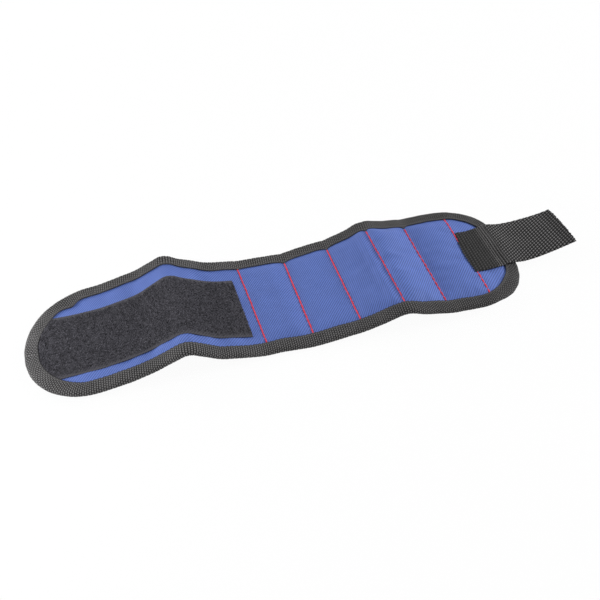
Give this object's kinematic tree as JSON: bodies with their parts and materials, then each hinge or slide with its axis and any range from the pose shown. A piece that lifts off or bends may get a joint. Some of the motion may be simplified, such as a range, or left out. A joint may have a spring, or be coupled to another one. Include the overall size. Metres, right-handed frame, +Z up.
{
  "type": "magnetic wristband",
  "caption": "Flat padded fabric wristband with stitched magnet pockets, bound edges, a loop patch on its rounded tail and a hook strap that closes it round the wrist.",
  "frame": {"origin": "on the table, under the middle of the opened band's box", "axes": "+X along the band from the tail to the strap, +Y across it, +Z up, out of the outer face"},
  "size_m": [0.3432, 0.082, 0.0205],
  "materials": {
    "outer_fabric": "blue coated oxford weave",
    "lining_fabric": "black knitted lining",
    "binding_tape": "dark ribbed binding tape",
    "loop_pile": "brushed loop pile",
    "strap_webbing": "ribbed polypropylene webbing",
    "hook_tape": "moulded hooks",
    "row_thread": "bright sewing thread",
    "tack_thread": "bonded sewing thread",
    "pad_foam": "thin comfort foam",
    "magnet": "plated bar magnet"
  },
  "bodies": {
    "tail_tip": {"outer_panel_tail_tip": "outer_fabric", "lining_tail_tip": "lining_fabric", "binding_tail_tip": "binding_tape", "loop_patch_tail_tip": "loop_pile"},
    "tail_mid": {"outer_panel_tail_mid": "outer_fabric", "lining_tail_mid": "lining_fabric", "binding_near_tail_mid": "binding_tape", "binding_far_tail_mid": "binding_tape", "loop_patch_tail_mid": "loop_pile"},
    "tail_root": {"outer_panel_tail_root": "outer_fabric", "lining_tail_root": "lining_fabric", "binding_near_tail_root": "binding_tape", "binding_far_tail_root": "binding_tape", "loop_patch_tail_root": "loop_pile"},
    "pocket_1": {"outer_panel_pocket_1": "outer_fabric", "lining_pocket_1": "lining_fabric", "binding_near_pocket_1": "binding_tape", "binding_far_pocket_1": "binding_tape", "magnet_bar_1": "magnet", "comfort_pad_1": "pad_foam", "stitch_row_1": "row_thread"},
    "pocket_2": {"outer_panel_pocket_2": "outer_fabric", "lining_pocket_2": "lining_fabric", "binding_near_pocket_2": "binding_tape", "binding_far_pocket_2": "binding_tape", "magnet_bar_2": "magnet", "comfort_pad_2": "pad_foam", "stitch_row_2": "row_thread"},
    "pocket_3": {"outer_panel_pocket_3": "outer_fabric", "lining_pocket_3": "lining_fabric", "binding_near_pocket_3": "binding_tape", "binding_far_pocket_3": "binding_tape", "magnet_bar_3": "magnet", "comfort_pad_3": "pad_foam", "stitch_row_3": "row_thread"},
    "pocket_4": {"outer_panel_pocket_4": "outer_fabric", "lining_pocket_4": "lining_fabric", "binding_near_pocket_4": "binding_tape", "binding_far_pocket_4": "binding_tape", "magnet_bar_4": "magnet", "comfort_pad_4": "pad_foam", "stitch_row_4": "row_thread"},
    "pocket_5": {"outer_panel_pocket_5": "outer_fabric", "lining_pocket_5": "lining_fabric", "binding_near_pocket_5": "binding_tape", "binding_far_pocket_5": "binding_tape", "magnet_bar_5": "magnet", "comfort_pad_5": "pad_foam", "stitch_row_5": "row_thread"},
    "end": {"outer_panel_end": "outer_fabric", "lining_end": "lining_fabric", "binding_end": "binding_tape", "strap_base": "strap_webbing", "strap_tack_thread": "tack_thread", "stitch_row_6": "row_thread"},
    "strap": {"strap_webbing": "strap_webbing", "hook_patch": "hook_tape"}
  },
  "joints": [
    {"name": "row_1_fold", "type": "hinge", "parent": "pocket_1", "child": "tail_root", "pos_m": [-0.03685, 0, 0.00267], "axis": [0, -1, 0], "range_deg": [-20, 55]},
    {"name": "crest_fold", "type": "hinge", "parent": "tail_root", "child": "tail_mid", "pos_m": [-0.08185, 0, 0.01812], "axis": [0, -1, 0], "range_deg": [-40, 40]},
    {"name": "tail_fold", "type": "hinge", "parent": "tail_mid", "child": "tail_tip", "pos_m": [-0.12622, 0, 0.00451], "axis": [0, -1, 0], "range_deg": [-25, 55]},
    {"name": "row_2_fold", "type": "hinge", "parent": "pocket_1", "child": "pocket_2", "pos_m": [-0.00786, 0, 0.00252], "axis": [0, 1, 0], "range_deg": [-25, 36]},
    {"name": "row_3_fold", "type": "hinge", "parent": "pocket_2", "child": "pocket_3", "pos_m": [0.02095, 0, 0.00569], "axis": [0, 1, 0], "range_deg": [-25, 41]},
    {"name": "row_4_fold", "type": "hinge", "parent": "pocket_3", "child": "pocket_4", "pos_m": [0.04853, 0, 0.01446], "axis": [0, 1, 0], "range_deg": [-40, 9]},
    {"name": "row_5_fold", "type": "hinge", "parent": "pocket_4", "child": "pocket_5", "pos_m": [0.07666, 0, 0.00771], "axis": [0, 1, 0], "range_deg": [-20, 43]},
    {"name": "row_6_fold", "type": "hinge", "parent": "pocket_5", "child": "end", "pos_m": [0.10564, 0, 0.00785], "axis": [0, 1, 0], "range_deg": [-30, 24]},
    {"name": "strap_fold", "type": "hinge", "parent": "end", "child": "strap", "pos_m": [0.13409, 0, 0.00445], "axis": [0, 1, 0], "range_deg": [-60, 52]}
  ]
}
